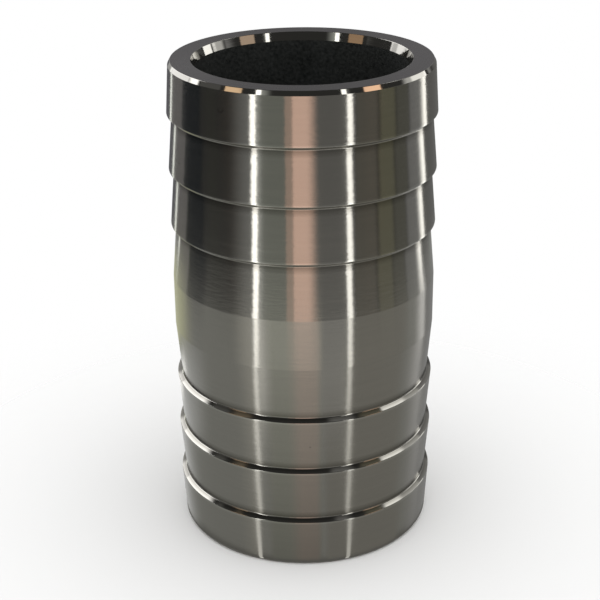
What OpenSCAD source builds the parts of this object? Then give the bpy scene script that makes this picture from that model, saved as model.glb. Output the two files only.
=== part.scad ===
// Double hose barb: a straight hose joiner turned from one length of thick steel pipe.
// It stands on one end face. The axis is Z, and the origin is the centre of the lower end.
// Both hose ends are alike, mirrored about the middle of the plain band between them.

/* [Pipe] */
// Outside diameter, which the barb crests and the middle band all reach
pipe_d = 40; // [25:0.5:80]
// Thickness of the pipe's wall, from the crests in to the rough bore that runs right through
wall = 4.25; // [3:0.25:8]

/* [Barbs] */
// Number of barbs on each hose end
barbs = 3; // [1:1:6]
// End face to the first crest
nose_l = 7.7; // [4:0.1:14]
// Drop from the crests to the small end of the first cone, on the radius
nose_h = 0.45; // [0.2:0.05:1.2]
// Crest to crest
pitch = 8.5; // [4:0.1:14]
// Step down from a crest to the root behind it, on the radius
step_h = 0.7; // [0.3:0.05:1.4]
// Length of the slanted shoulder behind each crest
shoulder_l = 0.45; // [0.1:0.05:1.2]

/* [Middle] */
// Last crest to the middle band, over the longer cone that leads up to the band
flare_l = 8.6; // [4:0.1:16]
// Length of the plain middle band
band_l = 7.7; // [2:0.1:40]

/* [Edges] */
// Outer chamfer of each end face, on the radius
rim_h = 0.35; // [0.2:0.05:1.4]
// Outer chamfer of each end face, along the axis
rim_l = 0.65; // [0.2:0.05:1.5]
// Chamfer at each mouth of the bore, on the radius
mouth_h = 0.45; // [0.1:0.05:1.2]
// Chamfer at each mouth of the bore, along the axis
mouth_l = 1.3; // [0.2:0.05:4]
// Radius that the tool nose leaves in each root
root_round = 0.2; // [0.05:0.05:0.4]
// Radius that polishing leaves on each crest
crest_round = 0.12; // [0.02:0.02:0.2]
// Radius that polishing leaves where the cones meet the middle band
band_round = 1; // [0.1:0.1:3]
// Radius of the broken edges round each end face
face_round = 0.08; // [0.02:0.02:0.12]

/* [Hidden] */

outer_r = pipe_d / 2;
bore_r = outer_r - wall;
end_l = nose_l + (barbs - 1) * pitch + flare_l; // end face to the middle band
total_l = 2 * end_l + band_l;
arc_steps = 4; // straight pieces in each rounded corner
round_fn = 240;

function unit(v) = v / norm(v);

// Arc of radius r that rounds corner b of the path a, b, c
function rounded(a, b, c, r) =
    let (
        to_a = unit(a - b),
        to_c = unit(c - b),
        half = acos(to_a * to_c) / 2,
        centre = b + unit(to_a + to_c) * r / sin(half),
        from = unit(b + to_a * r / tan(half) - centre),
        to = unit(b + to_c * r / tan(half) - centre),
        sweep = 180 - 2 * half
    )
    [for (i = [0 : arc_steps])
        let (done = sweep * i / arc_steps)
        centre + r * (sin(sweep - done) * from + sin(done) * to) / sin(sweep)];

// Corners of one hose end, from the mouth of the bore over the barbs to the middle band.
// Each is [radius, distance from the end face, rounding], and 0 leaves it sharp.
function end_corners() = [
    [bore_r, mouth_l, 0],
    [bore_r + mouth_h, 0, face_round],
    [outer_r - nose_h - rim_h, 0, face_round],
    [outer_r - nose_h, rim_l, face_round],
    for (i = [0 : barbs - 1])
        let (crest_z = nose_l + i * pitch)
        each [
            [outer_r, crest_z, crest_round],
            [outer_r - step_h, crest_z + shoulder_l, root_round]
        ],
    [outer_r, end_l, band_round]
];

// The same corners seen from the other end, in the order that carries the path on
function far_corners() =
    let (near = end_corners())
    [for (i = [len(near) - 1 : -1 : 0]) [near[i].x, total_l - near[i].y, near[i].z]];

// Whole section through the wall, as one closed path
function section(corners) =
    let (count = len(corners), at = [for (c = corners) [c.x, c.y]])
    [for (i = [0 : count - 1])
        each corners[i].z == 0
            ? [at[i]]
            : rounded(at[(i + count - 1) % count], at[i], at[(i + 1) % count], corners[i].z)];

// The turned body, with barbs, shoulders, chamfers and bore from one pass round the section
module hose_barb() {
    color([0.405, 0.391, 0.365])
        rotate_extrude($fn = round_fn)
            polygon(section(concat(end_corners(), far_corners())));
}

hose_barb();
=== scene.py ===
import math

import bpy
import numpy as np
from mathutils import Matrix, Vector


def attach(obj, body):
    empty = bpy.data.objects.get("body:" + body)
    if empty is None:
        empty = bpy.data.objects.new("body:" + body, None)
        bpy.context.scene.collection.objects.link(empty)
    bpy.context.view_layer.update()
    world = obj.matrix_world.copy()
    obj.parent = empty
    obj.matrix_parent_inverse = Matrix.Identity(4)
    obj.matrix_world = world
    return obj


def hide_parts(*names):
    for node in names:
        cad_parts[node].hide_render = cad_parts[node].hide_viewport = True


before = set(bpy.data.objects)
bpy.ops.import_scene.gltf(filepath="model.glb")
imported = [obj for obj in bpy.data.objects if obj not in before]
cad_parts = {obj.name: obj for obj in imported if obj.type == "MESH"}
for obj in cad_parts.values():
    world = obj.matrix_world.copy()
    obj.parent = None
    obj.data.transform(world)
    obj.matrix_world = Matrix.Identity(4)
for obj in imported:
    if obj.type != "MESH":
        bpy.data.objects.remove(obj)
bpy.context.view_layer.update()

# Double hose barb, turned from thick steel pipe and standing on one end. Sizes are in metres.

barbLook = {
    "outerRadius": 0.020,
    "wall": 0.00425,
    "barbs": 3,
    "noseLength": 0.0077,  # end face to the first crest
    "noseDrop": 0.00045,
    "pitch": 0.0085,  # crest to crest
    "stepDepth": 0.0007,
    "shoulderLength": 0.00045,
    "flareLength": 0.0086,  # last crest to the middle band
    "bandLength": 0.0077,
    "rimHeight": 0.00035,
    "rimLength": 0.00065,
    "mouthHeight": 0.00045,
    "mouthLength": 0.0013,
    "rootRound": 0.0002,
    "crestRound": 0.00012,
    "bandRound": 0.001,
    "faceRound": 0.00008,
    "rootReach": 0.0012,  # how far the painted shade in a root spreads up its cone
    "crestReach": 0.0004,  # how far the painted highlight on a crest spreads down its cone
    "arcPoints": 5,  # points in each rounded corner
    "segments": 288,
    "boreRings": 60,
    "boreUnevenness": 0.00005,
}


def addNode(tree, kind, inputs=None, **settings):
    node = tree.nodes.new(kind)
    for name, value in settings.items():
        setattr(node, name, value)
    for key, value in (inputs or {}).items():
        socket = node.inputs[key]
        if isinstance(value, bpy.types.NodeSocket):
            tree.links.new(value, socket)
        else:
            socket.default_value = value
    return node


def maths(tree, operation, *values):
    return addNode(tree, "ShaderNodeMath", dict(enumerate(values)), operation=operation).outputs[0]


def mapRange(tree, value, fromMin, fromMax, toMin=0.0, toMax=1.0, smooth=False):
    node = addNode(tree, "ShaderNodeMapRange", {
        "Value": value, "From Min": fromMin, "From Max": fromMax, "To Min": toMin, "To Max": toMax})
    if smooth:
        node.interpolation_type = "SMOOTHSTEP"
    return node.outputs["Result"]


def mixColour(tree, factor, first, second):
    return addNode(tree, "ShaderNodeMix", {0: factor, 6: first, 7: second}, data_type="RGBA").outputs[2]


def newMaterial(name):
    material = bpy.data.materials.new(name)
    material.use_nodes = True
    material.node_tree.nodes.clear()
    return material, material.node_tree


def newObject(name, data):
    obj = bpy.data.objects.new(name, data)
    bpy.context.scene.collection.objects.link(obj)
    return obj


def newGroup(name, inputs, outputs):
    tree = bpy.data.node_groups.new(name, "ShaderNodeTree")
    for label, value in inputs.items():
        socket = tree.interface.new_socket(label, in_out="INPUT", socket_type="NodeSocketFloat")
        socket.default_value = value
    for label in outputs:
        tree.interface.new_socket(label, in_out="OUTPUT", socket_type="NodeSocketFloat")
    return tree, tree.nodes.new("NodeGroupInput"), tree.nodes.new("NodeGroupOutput")


# Marks of the turning tool: short uneven grooves and faint broader rings, on the side and on the end faces
marksLook = {"grooveDetail": 2.0, "ringDetail": 3.0, "roughness": 0.6, "ringEnds": (0.3, 0.7)}
turningMarks, marksIn, marksOut = newGroup(
    "turningMarks",
    {"Groove Width": 0.0003, "Groove Length": 0.002, "Ring Width": 0.0006, "Ring Length": 0.02, "Seed": 0.0},
    ["Height", "Rings"])
place = addNode(turningMarks, "ShaderNodeTexCoord").outputs["Object"]
axes = addNode(turningMarks, "ShaderNodeSeparateXYZ", {0: place})
radius = maths(turningMarks, "SQRT", maths(
    turningMarks, "ADD", maths(turningMarks, "MULTIPLY", axes.outputs[0], axes.outputs[0]),
    maths(turningMarks, "MULTIPLY", axes.outputs[1], axes.outputs[1])))
along = maths(turningMarks, "ADD", axes.outputs[2], radius)  # distance along the turned outline


def ringNoise(width, length, detail):
    spot = addNode(turningMarks, "ShaderNodeCombineXYZ", {
        0: maths(turningMarks, "DIVIDE", axes.outputs[0], length),
        1: maths(turningMarks, "DIVIDE", axes.outputs[1], length),
        2: maths(turningMarks, "DIVIDE", along, width)})
    return addNode(turningMarks, "ShaderNodeTexNoise", {
        "Vector": spot.outputs[0], "W": marksIn.outputs["Seed"], "Scale": 1.0,
        "Detail": detail, "Roughness": marksLook["roughness"]}, noise_dimensions="4D").outputs["Fac"]


grooves = ringNoise(
    marksIn.outputs["Groove Width"], marksIn.outputs["Groove Length"], marksLook["grooveDetail"])
rings = ringNoise(marksIn.outputs["Ring Width"], marksIn.outputs["Ring Length"], marksLook["ringDetail"])
turningMarks.links.new(grooves, marksOut.inputs["Height"])
turningMarks.links.new(mapRange(turningMarks, rings, *marksLook["ringEnds"]), marksOut.inputs["Rings"])

# Small marks of handling on the turned side, each [degrees round, millimetres up, radius in millimetres].
# A hook is a curled scratch, open at its upper end.
handlingLook = {
    "specks": [[-64, 61.0, 0.14], [-25, 67.0, 0.11], [2, 20.5, 0.10], [3, 18.9, 0.09], [31, 19.3, 0.12],
               [-2, 7.5, 0.10]],
    "hooks": [[-34.6, 71.1, 0.45]],
    "depth": 0.0003,  # of the marks' middles below the crests
    "softness": 0.00006,
    "scratchWidth": 0.00005,
    "hookFade": 0.0003,  # height above a hook's middle over which its scratch ends
    "hookOpening": 0.001,  # distance added there, more than the scratch is wide
}
handlingMarks, handlingIn, handlingOut = newGroup(
    "handlingMarks", {"Softness": handlingLook["softness"]}, ["Marks"])


def markSpot(degrees, height):
    turn, side = math.radians(degrees), barbLook["outerRadius"] - handlingLook["depth"]
    return side * math.sin(turn), -side * math.cos(turn), height


handlingPlace = addNode(handlingMarks, "ShaderNodeTexCoord").outputs["Object"]
handlingHeight = addNode(handlingMarks, "ShaderNodeSeparateXYZ", {0: handlingPlace}).outputs[2]
marked = None
for mark in handlingLook["specks"] + handlingLook["hooks"]:
    height, reach = mark[1] / 1000, mark[2] / 1000
    away = addNode(handlingMarks, "ShaderNodeVectorMath", {0: handlingPlace, 1: markSpot(mark[0], height)},
                   operation="DISTANCE").outputs["Value"]
    if mark in handlingLook["hooks"]:
        ring = maths(handlingMarks, "ABSOLUTE", maths(handlingMarks, "SUBTRACT", away, reach))
        opening = mapRange(handlingMarks, handlingHeight, height, height + handlingLook["hookFade"],
                           0.0, handlingLook["hookOpening"])
        away = maths(handlingMarks, "ADD", ring, opening)
        reach = handlingLook["scratchWidth"]
    outerEdge = maths(handlingMarks, "ADD", handlingIn.outputs["Softness"], reach)
    spot = mapRange(handlingMarks, away, reach, outerEdge, 1.0, 0.0, smooth=True)
    marked = spot if marked is None else maths(handlingMarks, "MAXIMUM", marked, spot)
handlingMarks.links.new(marked, handlingOut.inputs["Marks"])


# What all the steel surfaces share: the tones of the painted shade in the roots, of the painted highlight on
# the crests, and of the handling marks
marksAndPaintedLightLook = {
    "paintedShadeTone": (0.20, 0.19, 0.17),
    "paintedHighlightTone": (0.55, 0.54, 0.51),
    "markTone": (0.12, 0.11, 0.10),
    "filletNearness": 0.92,  # from here on, rootNearness means the rounded root itself
    "streakTurn": 0.25,  # a quarter turn, so a highlight spreads across the grooves, along the axis
}


def steelMaterial(name, look):
    material, tree = newMaterial(name)
    marks = addNode(tree, "ShaderNodeGroup", node_tree=turningMarks)
    for label, key in (("Groove Width", "grooveWidth"), ("Groove Length", "grooveLength"),
                       ("Ring Width", "ringWidth"), ("Ring Length", "ringLength"), ("Seed", "seed")):
        marks.inputs[label].default_value = look[key]
    bump = addNode(tree, "ShaderNodeBump", {
        "Height": marks.outputs["Height"], "Strength": look["bump"], "Distance": look["bumpDepth"]})
    ringed = mixColour(tree, marks.outputs["Rings"], (*look["darkTone"], 1), (*look["lightTone"], 1))
    root = addNode(tree, "ShaderNodeAttribute", attribute_name="rootNearness").outputs["Fac"]
    crest = addNode(tree, "ShaderNodeAttribute", attribute_name="crestNearness").outputs["Fac"]
    # Painted shade: the colour darkens towards each root along its cone, with a share of its own in the
    # rounded root itself
    paintedShadeShare = mapRange(
        tree, root, marksAndPaintedLightLook["filletNearness"], 1.0, look["rootPaintedShade"], look["filletPaintedShade"])
    paintedShadeAmount = maths(tree, "MULTIPLY", root, paintedShadeShare)
    withPaintedShade = mixColour(tree, paintedShadeAmount, ringed, (*marksAndPaintedLightLook["paintedShadeTone"], 1))
    # Painted highlight: the colour lightens towards each crest
    paintedHighlightAmount = maths(tree, "MULTIPLY", crest, look["crestPaintedHighlight"])
    withPaintedHighlight = mixColour(tree, paintedHighlightAmount, withPaintedShade, (*marksAndPaintedLightLook["paintedHighlightTone"], 1))
    handling = addNode(tree, "ShaderNodeGroup", node_tree=handlingMarks)
    handled = maths(tree, "MULTIPLY", handling.outputs["Marks"], look["handling"])
    colour = mixColour(tree, handled, withPaintedHighlight, (*marksAndPaintedLightLook["markTone"], 1))
    tangent = addNode(tree, "ShaderNodeTangent", direction_type="RADIAL", axis="Z")
    shader = addNode(tree, "ShaderNodeBsdfPrincipled", {
        "Base Color": colour, "Metallic": 1.0,
        "Roughness": mapRange(tree, marks.outputs["Rings"], 0, 1, *look["roughness"]),
        "Anisotropic": look["anisotropic"], "Anisotropic Rotation": marksAndPaintedLightLook["streakTurn"],
        "Tangent": tangent.outputs[0], "Normal": bump.outputs[0]})
    addNode(tree, "ShaderNodeOutputMaterial", {"Surface": shader.outputs[0]})
    return material


steelLooks = {
    "turnedSteel": {  # cones and middle band
        "darkTone": (0.393, 0.380, 0.355), "lightTone": (0.417, 0.402, 0.375), "roughness": (0.145, 0.160),
        "anisotropic": 1.0, "grooveWidth": 0.00030, "grooveLength": 0.0022, "ringWidth": 0.0005,
        "ringLength": 0.014, "seed": 1.0, "bump": 1.0, "bumpDepth": 0.000014,
        "rootPaintedShade": 0.9, "filletPaintedShade": 0.0, "crestPaintedHighlight": 0.8, "handling": 0.7},
    "brightCutSteel": {  # chamfers and the shoulders behind the crests
        "darkTone": (0.42, 0.405, 0.38), "lightTone": (0.45, 0.44, 0.41), "roughness": (0.055, 0.075),
        "anisotropic": 0.5, "grooveWidth": 0.00030, "grooveLength": 0.0040, "ringWidth": 0.0003,
        "ringLength": 0.010, "seed": 2.0, "bump": 1.0, "bumpDepth": 0.000004,
        "rootPaintedShade": 0.9, "filletPaintedShade": 0.1, "crestPaintedHighlight": 0.0, "handling": 0.0},
    "facedSteel": {  # end faces
        "darkTone": (0.352, 0.347, 0.347), "lightTone": (0.380, 0.374, 0.375), "roughness": (0.25, 0.28),
        "anisotropic": 0.5, "grooveWidth": 0.00015, "grooveLength": 0.0040, "ringWidth": 0.0004,
        "ringLength": 0.02, "seed": 3.0, "bump": 1.0, "bumpDepth": 0.000006,
        "rootPaintedShade": 0.0, "filletPaintedShade": 0.0, "crestPaintedHighlight": 0.0, "handling": 0.0},
}
steels = {name: steelMaterial(name, look) for name, look in steelLooks.items()}

boreLook = {
    "tone": (0.0100, 0.0118, 0.0112),
    "paleTone": (0.0385, 0.0415, 0.0395),
    "roughness": (0.50, 0.80),  # where the grain's noise is low, and where it is high
    "specular": 0.2,
    "grain": 0.0005,
    "grainDetail": 4.0,
    "grainRoughness": 0.65,
    "grainEnds": (0.3, 0.7),
    "grainWeight": 3.0,  # of the grain in the tone, where the blotches count as 1
    "blotchScale": 220.0,
    "blotchDetail": 3.0,
    "toneEnds": (1.45, 2.75),  # sums of grain and blotches that give the tone and the pale tone
    "bump": 1.0,
    "bumpDepth": 0.00013,
}


def boreMaterial(look):
    material, tree = newMaterial("roughBore")
    place = addNode(tree, "ShaderNodeTexCoord").outputs["Object"]
    grain = addNode(tree, "ShaderNodeTexNoise", {
        "Vector": place, "Scale": 1 / look["grain"], "Detail": look["grainDetail"],
        "Roughness": look["grainRoughness"]})
    blotch = addNode(tree, "ShaderNodeTexNoise", {
        "Vector": place, "Scale": look["blotchScale"], "Detail": look["blotchDetail"]})
    bump = addNode(tree, "ShaderNodeBump", {
        "Height": grain.outputs["Fac"], "Strength": look["bump"], "Distance": look["bumpDepth"]})
    grains = maths(tree, "MULTIPLY_ADD", grain.outputs["Fac"], look["grainWeight"], blotch.outputs["Fac"])
    patches = mapRange(tree, grains, *look["toneEnds"])
    colour = mixColour(tree, patches, (*look["tone"], 1), (*look["paleTone"], 1))
    shader = addNode(tree, "ShaderNodeBsdfPrincipled", {
        "Base Color": colour, "Specular IOR Level": look["specular"],
        "Roughness": mapRange(tree, grain.outputs["Fac"], *look["grainEnds"], *look["roughness"]),
        "Normal": bump.outputs[0]})
    addNode(tree, "ShaderNodeOutputMaterial", {"Surface": shader.outputs[0]})
    return material


roughBore = boreMaterial(boreLook)
print("materials made")


treeValues = {
    "firstBarbOrder": 9.0,  # corners are joined by their order: the end face's, each barb's, the band's
    "cornersPerBarb": 4.0,
    "bandOrder": 100.0,
    "mirrorOrder": 1000.0,  # less a corner's own order, for the upper end
    "waveScale": 260.0,  # of the noise that makes the bore uneven
    "waveDetail": 2.0,
    "waveEnds": (0.25, 0.75),
    "straightBore": -0.999,  # a face that looks outwards less than this is the bore, before its waves
    "wavyBore": -0.985,  # and with them
    "chamfer": 0.2,  # a face that looks up or down more than this is a chamfer or a shoulder
    "endFace": 0.96,  # and more than this, an end face
}


def barbTree(values):
    tree = bpy.data.node_groups.new("turnedBarb", "GeometryNodeTree")
    tree.is_modifier = True
    sockets = {
        "Outer Radius": "outerRadius", "Wall": "wall", "Nose Length": "noseLength", "Nose Drop": "noseDrop",
        "Pitch": "pitch", "Step Depth": "stepDepth", "Shoulder Length": "shoulderLength",
        "Flare Length": "flareLength", "Band Length": "bandLength", "Rim Height": "rimHeight",
        "Rim Length": "rimLength", "Mouth Height": "mouthHeight", "Mouth Length": "mouthLength",
        "Root Round": "rootRound", "Crest Round": "crestRound", "Band Round": "bandRound",
        "Face Round": "faceRound", "Root Reach": "rootReach", "Crest Reach": "crestReach",
        "Bore Unevenness": "boreUnevenness"}
    counts = {"Barbs": "barbs", "Arc Points": "arcPoints", "Segments": "segments", "Bore Rings": "boreRings"}
    tree.interface.new_socket("Geometry", in_out="OUTPUT", socket_type="NodeSocketGeometry")
    for label in sockets:
        tree.interface.new_socket(label, in_out="INPUT", socket_type="NodeSocketFloat")
    for label in counts:
        tree.interface.new_socket(label, in_out="INPUT", socket_type="NodeSocketInt")
    given = tree.nodes.new("NodeGroupInput").outputs
    groupOut = tree.nodes.new("NodeGroupOutput")

    def add(first, second):
        return maths(tree, "ADD", first, second)

    def take(first, second):
        return maths(tree, "SUBTRACT", first, second)

    def times(first, second):
        return maths(tree, "MULTIPLY", first, second)

    def timesAdd(first, second, third):
        return maths(tree, "MULTIPLY_ADD", first, second, third)

    def isNumber(value, number):
        return maths(tree, "COMPARE", value, number, 0.5)

    def compare(value, operation, limit):
        return addNode(tree, "FunctionNodeCompare", {0: value, 1: limit}, operation=operation).outputs[0]

    def keep(geometry, name, value):
        kept = addNode(tree, "GeometryNodeStoreNamedAttribute", {
            "Geometry": geometry, "Name": name, "Value": value}, data_type="FLOAT", domain="POINT")
        return kept.outputs[0]

    def read(name):
        return addNode(tree, "GeometryNodeInputNamedAttribute", {"Name": name}, data_type="FLOAT").outputs[0]

    # A corner of the section. The outline is drawn with X the radius less the outer one, and Y downwards.
    def corner(order, drop, height, rounding=0.0, count=1, root=0.0, crest=0.0):
        spot = addNode(tree, "ShaderNodeCombineXYZ", {0: times(drop, -1.0), 1: times(height, -1.0)})
        made = addNode(tree, "GeometryNodePoints", {"Count": count, "Position": spot.outputs[0]})
        points = made.outputs[0]
        for name, value in (("order", order), ("rounding", rounding), ("rootNearness", root),
                            ("crestNearness", crest)):
            points = keep(points, name, value)
        return points

    barbNumber = addNode(tree, "GeometryNodeInputIndex").outputs[0]
    lastBarb = take(given["Barbs"], 1.0)
    crestHeight = add(given["Nose Length"], times(barbNumber, given["Pitch"]))
    rootHeight = add(crestHeight, given["Shoulder Length"])
    lastCrest = add(given["Nose Length"], times(lastBarb, given["Pitch"]))
    endLength = add(lastCrest, given["Flare Length"])

    def barbOrder(step):
        return timesAdd(barbNumber, values["cornersPerBarb"], values["firstBarbOrder"] + step)

    # Extra rings on the cones hold the painted shade to the roots and the painted highlight to the crests
    def coneRing(order, fromDrop, fromHeight, toDrop, toHeight, reach):
        share = maths(tree, "DIVIDE", reach, take(toHeight, fromHeight))
        drop = timesAdd(share, take(toDrop, fromDrop), fromDrop)
        return corner(order, drop, add(fromHeight, reach), count=given["Barbs"])

    # Each cone starts at the root before it, but the first one at the rim, and the last one ends at the band
    isFirst, isLast = isNumber(barbNumber, 0.0), isNumber(barbNumber, lastBarb)
    startDrop = timesAdd(isFirst, take(given["Nose Drop"], given["Step Depth"]), given["Step Depth"])
    rimShift = take(given["Rim Length"], take(
        given["Nose Length"], take(given["Pitch"], given["Shoulder Length"])))
    startHeight = timesAdd(isFirst, rimShift, take(rootHeight, given["Pitch"]))
    nextHeight = timesAdd(
        isLast, take(given["Flare Length"], given["Pitch"]), add(crestHeight, given["Pitch"]))
    corners = [
        corner(0.0, given["Wall"], given["Mouth Length"]),
        corner(1.0, take(given["Wall"], given["Mouth Height"]), 0.0, given["Face Round"]),
        corner(2.0, add(given["Nose Drop"], given["Rim Height"]), 0.0, given["Face Round"]),
        corner(3.0, given["Nose Drop"], given["Rim Length"], given["Face Round"]),
        coneRing(barbOrder(0), 0.0, crestHeight, startDrop, startHeight, times(given["Crest Reach"], -1.0)),
        corner(barbOrder(1), 0.0, crestHeight, given["Crest Round"], given["Barbs"], crest=1.0),
        corner(barbOrder(2), given["Step Depth"], rootHeight, given["Root Round"], given["Barbs"], root=1.0),
        coneRing(barbOrder(3), given["Step Depth"], rootHeight, 0.0, nextHeight, given["Root Reach"]),
        corner(values["bandOrder"], 0.0, endLength, given["Band Round"]),
    ]
    lowerEnd = tree.nodes.new("GeometryNodeJoinGeometry")
    for points in reversed(corners):
        tree.links.new(points, lowerEnd.inputs[0])

    # The upper end is the lower one mirrored, and its corners carry the outline on
    totalLength = add(times(endLength, 2.0), given["Band Length"])
    lift = addNode(tree, "ShaderNodeCombineXYZ", {1: times(totalLength, -1.0)})
    mirrored = addNode(tree, "GeometryNodeTransform", {
        "Geometry": lowerEnd.outputs[0], "Translation": lift.outputs[0], "Scale": (1.0, -1.0, 1.0)})
    upperEnd = keep(mirrored.outputs[0], "order", take(values["mirrorOrder"], read("order")))
    bothEnds = tree.nodes.new("GeometryNodeJoinGeometry")
    tree.links.new(upperEnd, bothEnds.inputs[0])
    tree.links.new(lowerEnd.outputs[0], bothEnds.inputs[0])

    outline = addNode(tree, "GeometryNodePointsToCurves", {
        "Points": bothEnds.outputs[0], "Weight": read("order")})
    facingOut = addNode(tree, "GeometryNodeReverseCurve", {"Curve": outline.outputs[0]})
    closed = addNode(tree, "GeometryNodeSetSplineCyclic", {"Geometry": facingOut.outputs[0], "Cyclic": True})
    isFirstCorner = compare(read("order"), "LESS_THAN", 0.5)
    boreCuts = addNode(tree, "GeometryNodeSwitch", {
        "Switch": isFirstCorner, "False": 0, "True": given["Bore Rings"]}, input_type="INT")
    cut = addNode(tree, "GeometryNodeSubdivideCurve", {
        "Curve": closed.outputs[0], "Cuts": boreCuts.outputs[0]})
    filleted = addNode(tree, "GeometryNodeFilletCurve", {
        "Curve": cut.outputs[0], "Count": given["Arc Points"], "Radius": read("rounding"),
        "Limit Radius": True}, mode="POLY")
    circle = addNode(tree, "GeometryNodeCurvePrimitiveCircle", {
        "Resolution": given["Segments"], "Radius": given["Outer Radius"]})
    turned = addNode(tree, "GeometryNodeCurveToMesh", {
        "Curve": circle.outputs[0], "Profile Curve": filleted.outputs[0]})
    smooth = addNode(tree, "GeometryNodeSetShadeSmooth", {"Geometry": turned.outputs[0]})

    # Which way each face looks: out from the axis, or up and down
    position = addNode(tree, "GeometryNodeInputPosition").outputs[0]
    level = addNode(tree, "ShaderNodeVectorMath", {0: position, 1: (1.0, 1.0, 0.0)}, operation="MULTIPLY")
    outward = addNode(tree, "ShaderNodeVectorMath", {0: level.outputs[0]}, operation="NORMALIZE").outputs[0]
    normal = addNode(tree, "GeometryNodeInputNormal").outputs[0]
    facing = addNode(tree, "ShaderNodeVectorMath", {0: outward, 1: normal},
                     operation="DOT_PRODUCT").outputs["Value"]
    upright = maths(tree, "ABSOLUTE", addNode(tree, "ShaderNodeSeparateXYZ", {0: normal}).outputs[2])

    # The bore was never machined, so its wall is slightly uneven
    waves = addNode(tree, "ShaderNodeTexNoise", {
        "Vector": position, "Scale": values["waveScale"], "Detail": values["waveDetail"]})
    waveHeight = mapRange(tree, waves.outputs["Fac"], *values["waveEnds"], -1.0, 1.0)
    amount = times(given["Bore Unevenness"], waveHeight)
    shift = addNode(tree, "ShaderNodeVectorMath", {0: outward, "Scale": amount}, operation="SCALE")
    isBore = compare(facing, "LESS_THAN", values["straightBore"])
    uneven = addNode(tree, "GeometryNodeSetPosition", {
        "Geometry": smooth.outputs[0], "Selection": isBore, "Offset": shift.outputs[0]})

    def paint(geometry, material, selection=None):
        inputs = {"Geometry": geometry, "Material": material}
        if selection is not None:
            inputs["Selection"] = selection
        return addNode(tree, "GeometryNodeSetMaterial", inputs).outputs[0]

    solid = addNode(tree, "GeometryNodeRealizeInstances", {"Geometry": uneven.outputs[0]}).outputs[0]
    solid = paint(solid, steels["turnedSteel"])
    solid = paint(solid, steels["brightCutSteel"], compare(upright, "GREATER_THAN", values["chamfer"]))
    solid = paint(solid, steels["facedSteel"], compare(upright, "GREATER_THAN", values["endFace"]))
    solid = paint(solid, roughBore, compare(facing, "LESS_THAN", values["wavyBore"]))
    tree.links.new(solid, groupOut.inputs[0])
    return tree, {**sockets, **counts}


def plainMesh(holder, name):
    evaluated = holder.evaluated_get(bpy.context.evaluated_depsgraph_get())
    mesh = bpy.data.meshes.new_from_object(evaluated)
    mesh.name = name
    return mesh


leastLength = 1e-12  # keeps the points that a side doesn't use from a division by nought


# Each point's normal is weighted by the size of the faces round it, so the cones stay straight in a
# reflection. The rough bore, side 1, keeps its own normals, so the edge where the chamfer ends is sharp.
def weightNormals(mesh):
    normals = np.zeros((2, len(mesh.vertices), 3))
    sides = [int(mesh.materials[face.material_index] == roughBore) for face in mesh.polygons]
    for face, side in zip(mesh.polygons, sides):
        pull = np.array(face.normal) * face.area
        for vertex in face.vertices:
            normals[side, vertex] += pull
    lengths = np.linalg.norm(normals, axis=2)[:, :, None]
    normals /= np.maximum(lengths, leastLength)
    split = []
    for face, side in zip(mesh.polygons, sides):
        split += [normals[side, vertex].tolist() for vertex in face.vertices]
    mesh.normals_split_custom_set(split)


def makeBarb(look):
    tree, names = barbTree(treeValues)
    holder = newObject("barbHolder", bpy.data.meshes.new("barbHolder"))
    modifier = holder.modifiers.new("turnedBarb", "NODES")
    modifier.node_group = tree
    for item in tree.interface.items_tree:
        if item.in_out == "INPUT":
            modifier[item.identifier] = look[names[item.name]]
    mesh = plainMesh(holder, "hoseBarb")
    bpy.data.objects.remove(holder)
    for name in ("order", "rounding"):
        if name in mesh.attributes:
            mesh.attributes.remove(mesh.attributes[name])
    weightNormals(mesh)
    return newObject("hoseBarb", mesh)


barb = makeBarb(barbLook)
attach(barb, "root")
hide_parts("hose_barb")
print("barb made:", len(barb.data.vertices), "points")


floorLook = {
    "radius": 0.090,
    "corners": 96,
    "fadeFrom": 0.021,  # from here out to its edge the floor fades into the white behind it
    "tone": (0.88, 0.88, 0.875),
    "roughness": 0.9,
}


def makeFloor(look):
    mesh = bpy.data.meshes.new("floor")
    turns = [math.tau * number / look["corners"] for number in range(look["corners"])]
    points = [(look["radius"] * math.cos(turn), look["radius"] * math.sin(turn), 0) for turn in turns]
    mesh.from_pydata(points, [], [list(range(look["corners"]))])
    floor = newObject("floor", mesh)
    material, tree = newMaterial("paleFloor")
    place = addNode(tree, "ShaderNodeTexCoord").outputs["Object"]
    away = addNode(tree, "ShaderNodeVectorMath", {0: place}, operation="LENGTH").outputs["Value"]
    fade = mapRange(tree, away, look["fadeFrom"], look["radius"], 0.0, 1.0, smooth=True)
    surface = addNode(tree, "ShaderNodeBsdfPrincipled", {
        "Base Color": (*look["tone"], 1), "Roughness": look["roughness"]})
    clear = addNode(tree, "ShaderNodeBsdfTransparent")
    mixed = addNode(tree, "ShaderNodeMixShader", {0: fade, 1: surface.outputs[0], 2: clear.outputs[0]})
    addNode(tree, "ShaderNodeOutputMaterial", {"Surface": mixed.outputs[0]})
    mesh.materials.append(material)


makeFloor(floorLook)

worldLook = {"shown": 1.0, "light": 0.75}  # strength for the camera and reflections, and for the rest
world = bpy.data.worlds.new("studio")
bpy.context.scene.world = world
world.use_nodes = True
worldTree = world.node_tree
worldTree.nodes.clear()
rays = addNode(worldTree, "ShaderNodeLightPath")
shownRays = maths(worldTree, "MAXIMUM", rays.outputs["Is Camera Ray"], maths(
    worldTree, "MAXIMUM", rays.outputs["Is Glossy Ray"], rays.outputs["Is Transmission Ray"]))
backdrop = addNode(worldTree, "ShaderNodeBackground", {
    "Color": (1, 1, 1, 1),
    "Strength": mapRange(worldTree, shownRays, 0, 1, worldLook["light"], worldLook["shown"])})
addNode(worldTree, "ShaderNodeOutputWorld", {"Surface": backdrop.outputs[0]})

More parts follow.
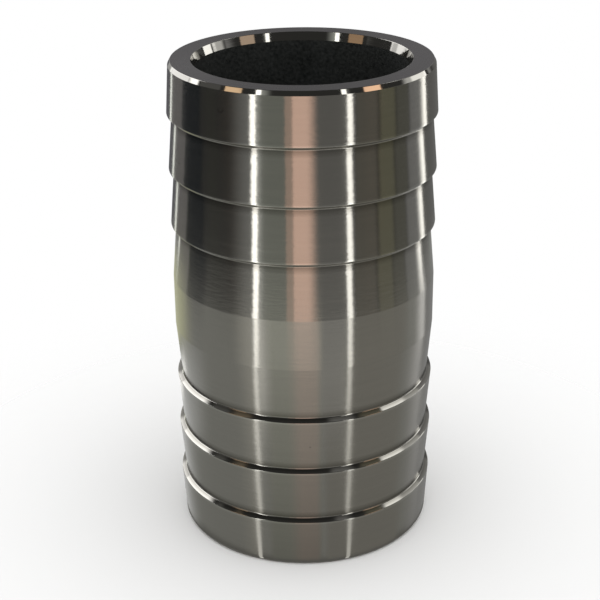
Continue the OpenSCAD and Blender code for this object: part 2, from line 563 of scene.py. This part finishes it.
lampLook = {"size": 0.7, "energy": 2.4, "place": (0.03, -0.10, 0.70), "aim": (0, 0, 0.03)}
lampData = bpy.data.lights.new("softLamp", "AREA")
lampData.shape = "DISK"
lampData.size = lampLook["size"]
lampData.energy = lampLook["energy"]
lamp = newObject("softLamp", lampData)
lamp.location = lampLook["place"]
lamp.rotation_euler = (Vector(lampLook["aim"]) - lamp.location).to_track_quat("-Z", "Y").to_euler()
lamp.visible_glossy = False
print("floor and light made")


# Each card is [azimuth from, to, elevation from, to, colour, soft edges left, right, low, high], in degrees.
# Azimuth 0 is the camera's side and 90 the right side. Later cards stand in front of earlier ones.
studioCards = {
    "backGrey": [140, 222, 2, 40, (0.192, 0.187, 0.190), 8, 8, 6, 12],
    "leftFar": [-180, -146, -40, 8, (0.13, 0.13, 0.14), 1, 3, 6, 6],
    "leftGrey": [-141, -118.5, -40, 12, (0.18, 0.175, 0.175), 1, 0.4, 6, 6],
    "leftBlack": [-118.5, -90, -40, 14, (0.014, 0.018, 0.022), 0.4, 6, 6, 6],
    "leftDim": [-88, -74, -40, 10, (0.048, 0.049, 0.044), 3, 2, 6, 6],
    "leftRise": [-66, -43, -40, 12, (0.248, 0.252, 0.245), 21, 0.3, 6, 6],
    "leftFade": [-39, -27, -40, 46, (0.46, 0.48, 0.45), 0.3, 11, 6, 6],
    "greyGreen": [-36, -13.5, -40, 14, (0.248, 0.262, 0.235), 4, 0.3, 6, 6],
    "copperSide": [-14.5, -8, -40, 16, (0.58, 0.44, 0.36), 0.3, 1, 6, 6],
    "rightGrey": [5, 36, -40, 14, (0.190, 0.189, 0.180), 1, 0.3, 6, 6],
    "copper": [-9, 13.5, -40, 16, (1.20, 0.83, 0.67), 1, 11, 6, 6],
    "rightFade": [40.5, 45, -40, 46, (0.26, 0.26, 0.25), 0.3, 4, 6, 6],
    "rightBrown": [42, 66, -40, 14, (0.150, 0.143, 0.122), 4, 4, 6, 6],
    "rightOlive": [64, 84, -40, 14, (0.182, 0.178, 0.126), 4, 4, 6, 6],
    "rightDim": [82, 99, -40, 14, (0.130, 0.130, 0.110), 3, 3, 6, 6],
    "rightPale": [97, 116, -40, 14, (0.240, 0.242, 0.240), 3, 1, 6, 6],
    "rightFar": [126, 180, -40, 8, (0.17, 0.17, 0.165), 1, 2, 6, 6],
    "leftStrip": [-43.3, -38.2, -40, 46, (3.2, 3.2, 3.1), 0.2, 0.6, 6, 5],
    "rightStrip": [36.4, 41.3, -40, 46, (2.7, 2.7, 2.6), 0.2, 0.3, 6, 5],
    "leftThin": [-146, -141, -40, 12, (1.7, 1.75, 1.65), 0.6, 0.6, 6, 5],
    "rightBright": [113.5, 125.2, -40, 10, (2.6, 2.6, 2.5), 8.5, 0.2, 6, 6],
    "leftBackGrey": [-172, -144, -4, 22, (0.50, 0.50, 0.49), 8, 1, 3, 6],
    "rightBackGrey": [130, 160, 6, 60, (0.34, 0.34, 0.335), 3, 10, 3, 10],
    "leftHighDim": [-128, -106, 44, 66, (0.125, 0.125, 0.12), 3, 3, 4, 5],
    "leftWallDim": [-99, -76, 19, 50, (0.13, 0.13, 0.125), 2, 2, 3, 8],
    "rightTopDim": [60, 108, 66, 80, (0.22, 0.22, 0.215), 8, 8, 4, 4],
    "leftWindow": [-156, -99, 18, 44.3, (2.6, 2.6, 2.6), 3, 3, 3, 5],
    "leftMidWindow": [-149, -111, 2, 20, (1.7, 1.7, 1.7), 4, 2, 5, 1],
    "leftMidDim": [-124, -112, 1, 14, (0.95, 0.95, 0.95), 3, 3, 2, 2],
    "rightSideGlow": [72, 94, 8, 21, (0.30, 0.30, 0.30), 16, 4, 2, 3],
    "rightGlow": [94, 111, 4, 14.5, (1.10, 1.10, 1.08), 14, 0.5, 2, 0.5],
    "rightRimGlow": [92, 108, 13.5, 26, (0.80, 0.80, 0.78), 6, 1, 0.5, 3],
    "rightWindow": [113, 127.5, 3, 14.5, (2.1, 2.1, 2.05), 0.5, 1, 2, 0.5],
    "rightRimWindow": [105, 132, 13.5, 26, (1.7, 1.7, 1.65), 3, 2, 0.5, 3],
    "rightUpperWindow": [109, 133, 24, 46, (0.75, 0.75, 0.72), 3, 3, 3, 3],
    "rightHighOlive": [90, 114, 51, 67, (0.17, 0.16, 0.12), 3, 3, 2, 4],
    "rightTopWindow": [103, 127, 39, 54.8, (1.80, 1.80, 1.74), 3, 3, 4, 1.2],
    "rightHighWindow": [76, 112, 34, 44, (1.0, 1.0, 0.97), 3, 3, 3, 3],
    "warmLeftLow": [-72, -54, 14, 28, (0.55, 0.36, 0.22), 0.6, 0.6, 3, 2],
    "warmLeft": [-73, -56, 27, 40, (1.40, 0.98, 0.61), 1, 1, 2, 4],
    "warmRightLow": [54, 72, 14, 28, (0.74, 0.56, 0.42), 0.6, 0.6, 3, 2],
    "warmRight": [57, 74, 27, 40, (1.80, 1.15, 0.76), 1, 1, 2, 4],
    "warmLeftHigh": [-108, -93, 54, 72, (0.22, 0.18, 0.13), 4, 4, 6, 6],
}

# The same for cards that lie on the floor, with the distance from the barb in millimetres
# in place of the elevation, and at the end the share of the colour at the near edge.
# These cards paint the floor as the metal sees it: the strips' pools of light on it are painted reflections,
# and the lower share at the near edge paints the barb's shadow on it
tableCards = {
    "tableGrey": [-180, 180, -0.7, 130, (0.398, 0.405, 0.380), 0, 0, 0, 10, 0.74],
    # Painted shadow: a dark ring round the barb's foot
    "tableFootShadow": [-180, 180, -0.7, 1.5, (0.17, 0.17, 0.16), 0, 0, 0, 1.5, 1.0],
    "tableRightSide": [16, 108, 0.2, 130, (0.35, 0.345, 0.315), 8, 12, 0.2, 10, 0.76],
    "tableRightMiddle": [9, 38, 20, 130, (0.42, 0.42, 0.40), 6, 1, 25, 10, 1.0],
    "tableRightBack": [134, 180, 0.2, 130, (0.29, 0.29, 0.285), 3, 0, 0.2, 10, 1.0],
    "tableRightEdge": [107, 138, 0.2, 70, (0.64, 0.64, 0.63), 22, 4, 0.2, 12, 0.50],
    "tableRightFarEdge": [114, 136, 58, 130, (0.84, 0.84, 0.83), 13, 3, 12, 10, 1.0],
    "tableLeftBlend": [-180, -98, 22, 64, (0.485, 0.495, 0.485), 0, 30, 10, 10, 1.0],
    "tableLeftEdge": [-180, -120, 0.2, 63, (0.74, 0.75, 0.745), 0, 46, 0.2, 10, 0.80],
    "tableLeftShine": [-180, -146, 38, 60, (1.30, 1.30, 1.27), 0, 7, 8, 10, 1.0],
    "tableLeftOlive": [-180, -112, 60, 130, (0.60, 0.61, 0.42), 0, 32, 10, 10, 1.0],
    "tableLeftDim": [-126, -92, 92, 130, (0.14, 0.14, 0.135), 5, 12, 25, 4, 1.0],
    "tableLeftRise": [-68, -45, 0.2, 130, (0.74, 0.735, 0.67), 20, 0.5, 0.2, 10, 0.46],
    "tableMiddle": [-38, 18, 0.2, 130, (0.78, 0.80, 0.71), 8, 8, 0.2, 10, 0.31],
    "tableCopper": [-17, 16, 0.2, 130, (1.02, 0.92, 0.82), 15, 6, 0.2, 10, 0.27],
    "tableLeftFade": [-43, -28, 20, 130, (0.95, 0.95, 0.89), 2, 13, 35, 10, 1.0],
    "tableLeftFar": [-45, -39.5, 50, 130, (2.2, 2.2, 2.1), 0.5, 2, 15, 10, 1.0],
    "tableLeftNear": [-49, -43.8, -0.7, 62, (1.75, 1.75, 1.66), 0.7, 1.5, 0, 12, 0.58],
    "tableRightFar": [38, 43, 50, 130, (1.85, 1.85, 1.76), 0.5, 1, 15, 10, 1.0],
    "tableRightNear": [40, 45, -0.7, 62, (1.40, 1.40, 1.32), 1, 1, 0, 12, 0.62],
}

studioLook = {
    "radius": 0.90,
    "centre": 0.037,  # height of the cards' common middle
    "cardGap": 0.004,  # each card stands this much closer in than the one before it
    "floorHeight": 0.0001,  # of the first card on the floor
    "floorGap": 0.00001,
    "mirrorTurn": 2.15,  # a floor card's azimuth over that of the spot that mirrors it
    "rows": 8,
    "columnAngle": 4,  # degrees of azimuth for one column of faces
    "leastColumns": 4,
    "surround": 1.08,  # radius of the dark surround over that of the cards
    "surroundRings": 24,
    "surroundSides": 48,
    "dark": (0.045, 0.045, 0.043),
}


def seenOnlyInMetal(obj):
    obj.visible_camera = False
    obj.visible_diffuse = False
    obj.visible_transmission = False
    obj.visible_volume_scatter = False
    obj.visible_shadow = False


def cardMaterial(name, card):
    fromTurn, toTurn, fromLift, toLift, colour, left, right, low, high, *nearShare = card
    width, tall = toTurn - fromTurn, toLift - fromLift
    material, tree = newMaterial(name)
    place = addNode(tree, "ShaderNodeUVMap", uv_map="card").outputs[0]
    across = addNode(tree, "ShaderNodeSeparateXYZ", {0: place})
    edges = [(0, 0.0, left / width), (0, 1.0, 1.0 - right / width),
             (1, 0.0, low / tall), (1, 1.0, 1.0 - high / tall)]
    mask = None
    for axis, start, end in edges:
        if start != end:
            edge = mapRange(tree, across.outputs[axis], start, end, smooth=True)
            mask = edge if mask is None else maths(tree, "MULTIPLY", mask, edge)
    # On a floor card a lower share at the near edge paints the barb's shadow on the floor
    near = nearShare[0] if nearShare else 1.0
    glow = addNode(tree, "ShaderNodeEmission", {
        "Color": (*colour, 1), "Strength": mapRange(tree, across.outputs[1], 0.0, 1.0, near, 1.0)})
    clear = addNode(tree, "ShaderNodeBsdfTransparent")
    mixed = addNode(tree, "ShaderNodeMixShader", {0: mask, 1: clear.outputs[0], 2: glow.outputs[0]})
    addNode(tree, "ShaderNodeOutputMaterial", {"Surface": mixed.outputs[0]})
    return material


def makeCard(name, card, place, look):
    fromTurn, toTurn, fromLift, toLift = card[:4]
    rows = look["rows"]
    columns = max(look["leastColumns"], int((toTurn - fromTurn) / look["columnAngle"]))
    points, faces, uvs = [], [], []
    for row in range(rows + 1):
        for column in range(columns + 1):
            u, v = column / columns, row / rows
            points.append(place(fromTurn + (toTurn - fromTurn) * u, fromLift + (toLift - fromLift) * v))
            uvs.append((u, v))
    for row in range(rows):
        for column in range(columns):
            first = row * (columns + 1) + column
            faces.append((first, first + 1, first + columns + 2, first + columns + 1))
    mesh = bpy.data.meshes.new(name)
    mesh.from_pydata(points, [], faces)
    layer = mesh.uv_layers.new(name="card")
    for loop in mesh.loops:
        layer.data[loop.index].uv = uvs[loop.vertex_index]
    mesh.materials.append(cardMaterial(name, card))
    seenOnlyInMetal(newObject(name, mesh))


def standing(radius):
    def place(azimuth, elevation):
        turn, lift = math.radians(azimuth), math.radians(elevation)
        return (radius * math.sin(turn) * math.cos(lift), -radius * math.cos(turn) * math.cos(lift),
                studioLook["centre"] + radius * math.sin(lift))
    return place


# A point on the floor at a distance from the barb's side. A whole ring goes straight out from the axis,
# and any other card goes out from the spot on the side that mirrors it.
def lying(height, wholeRing):
    def place(azimuth, distance):
        turn = math.radians(azimuth)
        start = turn if wholeRing else turn / studioLook["mirrorTurn"]
        rim = barbLook["outerRadius"]
        return (rim * math.sin(start) + distance / 1000 * math.sin(turn),
                -rim * math.cos(start) - distance / 1000 * math.cos(turn), height)
    return place


def makeSurround(look):
    mesh = bpy.data.meshes.new("darkSurround")
    rings, sides = look["surroundRings"], look["surroundSides"]
    points = [(0, 0, -1)]
    for ring in range(1, rings):
        lift = math.pi * ring / rings - math.pi / 2
        for side in range(sides):
            turn = math.tau * side / sides
            points.append((math.cos(lift) * math.cos(turn), math.cos(lift) * math.sin(turn), math.sin(lift)))
    points.append((0, 0, 1))
    faces = [(0, 1 + (side + 1) % sides, 1 + side) for side in range(sides)]
    for ring in range(rings - 2):
        base = 1 + ring * sides
        for side in range(sides):
            following = base + (side + 1) % sides
            faces.append((base + side, following, following + sides, base + sides + side))
    top = 1 + (rings - 2) * sides
    faces += [(top + side, top + (side + 1) % sides, len(points) - 1) for side in range(sides)]
    size = look["radius"] * look["surround"]
    mesh.from_pydata([(x * size, y * size, z * size + look["centre"]) for x, y, z in points], [], faces)
    material, tree = newMaterial("darkSurround")
    glow = addNode(tree, "ShaderNodeEmission", {"Color": (*look["dark"], 1), "Strength": 1.0})
    addNode(tree, "ShaderNodeOutputMaterial", {"Surface": glow.outputs[0]})
    mesh.materials.append(material)
    seenOnlyInMetal(newObject("darkSurround", mesh))


makeSurround(studioLook)
for number, (name, card) in enumerate(studioCards.items()):
    makeCard(name, card, standing(studioLook["radius"] - studioLook["cardGap"] * number), studioLook)
for number, (name, card) in enumerate(tableCards.items()):
    height = studioLook["floorHeight"] + studioLook["floorGap"] * number
    wholeRing = card[1] - card[0] == 360
    makeCard(name, card, lying(height, wholeRing), studioLook)
print("studio made")


# Angles in radians, lens and sensor in millimetres
cameraLook = {
    "lens": 85.706,
    "sensor": 36.0,
    "place": (-0.000599, -0.204522, 0.124012),
    "down": 0.4074,
    "roll": -0.0095,
    "clip": (0.01, 5.0),
}
cameraData = bpy.data.cameras.new("camera")
cameraData.lens = cameraLook["lens"]
cameraData.sensor_width = cameraLook["sensor"]
cameraData.clip_start, cameraData.clip_end = cameraLook["clip"]
camera = newObject("camera", cameraData)
down, roll = cameraLook["down"], cameraLook["roll"]
flatRight = Vector((1, 0, 0))
flatUp = Vector((0, math.sin(down), math.cos(down)))
right = math.cos(roll) * flatRight + math.sin(roll) * flatUp
up = math.cos(roll) * flatUp - math.sin(roll) * flatRight
camera.matrix_world = Matrix.Translation(cameraLook["place"]) @ Matrix(
    (right, up, right.cross(up))).transposed().to_4x4()
bpy.context.scene.camera = camera
bpy.context.scene.view_settings.view_transform = "Standard"
print("camera set")
